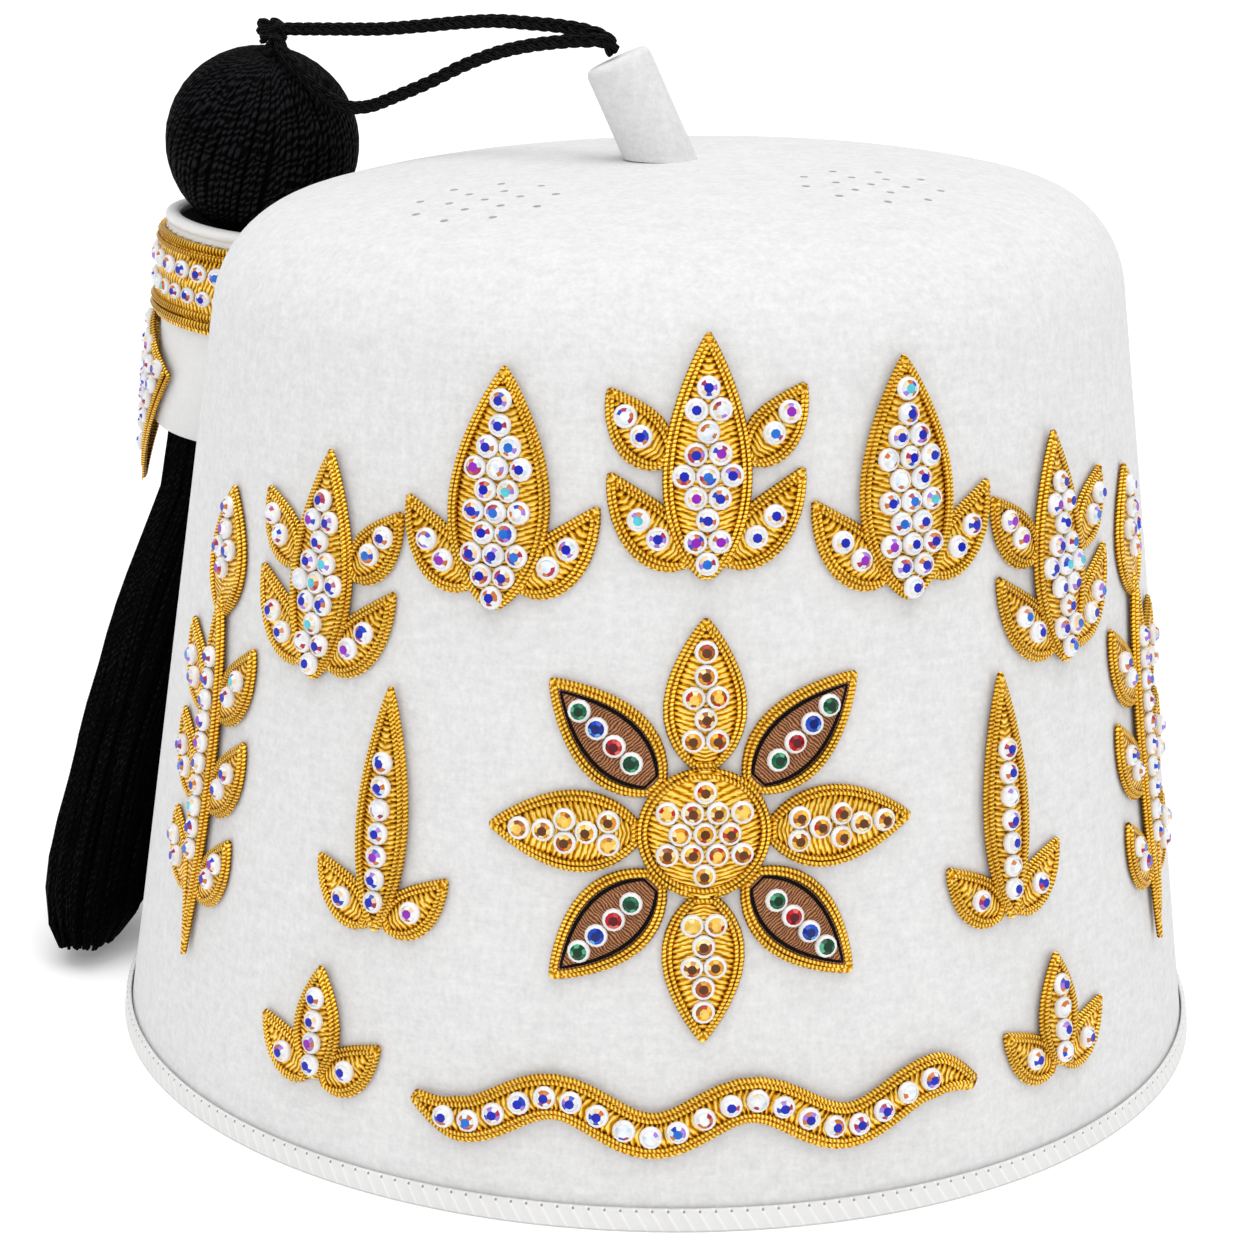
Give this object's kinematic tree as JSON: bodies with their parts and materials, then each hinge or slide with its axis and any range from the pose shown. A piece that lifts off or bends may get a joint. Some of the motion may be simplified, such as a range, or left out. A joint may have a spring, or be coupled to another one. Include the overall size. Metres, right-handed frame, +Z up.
{
  "type": "fez with tassel",
  "caption": "White felt fez with raised gold leaf embroidery set with cut stones, a leather-bound rim, a leaning stem and a black tassel on a braided cord.",
  "frame": {"origin": "under the middle of the box of all pieces but the cord, on the surface that the rim stands on", "axes": "+Z up, the crown's axis is parallel to Z, -Y is the embroidered front, the tassel hangs at the left and back (-X, +Y)"},
  "size_m": [0.2034, 0.1854, 0.1662],
  "materials": {
    "felt": "fine matt wool felt with a short nap",
    "leather": "smooth satin white leather",
    "gold_thread": "metallic bullion thread and satin stitch",
    "black_yarn": "glossy rayon yarn, braided and wound",
    "stone": "cut glass with a foil back, clear with blue and pink flashes, amber and coloured",
    "setting": "round white sew-on settings"
  },
  "bodies": {
    "root": {"crown": "felt", "rim_binding": "leather", "stem": "felt", "tassel_cuff": "leather", "cuff_band": "gold_thread", "tassel_ball": "black_yarn", "tassel_knot": "black_yarn", "kite_badge": "gold_thread", "tassel_skirt": "black_yarn", "arch_motif_1": "gold_thread", "arch_motif_2": "gold_thread", "arch_motif_3": "gold_thread", "arch_motif_4": "gold_thread", "arch_motif_5": "gold_thread", "spray_left": "gold_thread", "spray_right": "gold_thread", "lancet_left": "gold_thread", "lancet_right": "gold_thread", "sprig_left": "gold_thread", "sprig_right": "gold_thread", "medallion": "gold_thread", "garland": "gold_thread", "cord_upper": "black_yarn", "cord_lower": "black_yarn"}
  },
  "joints": []
}
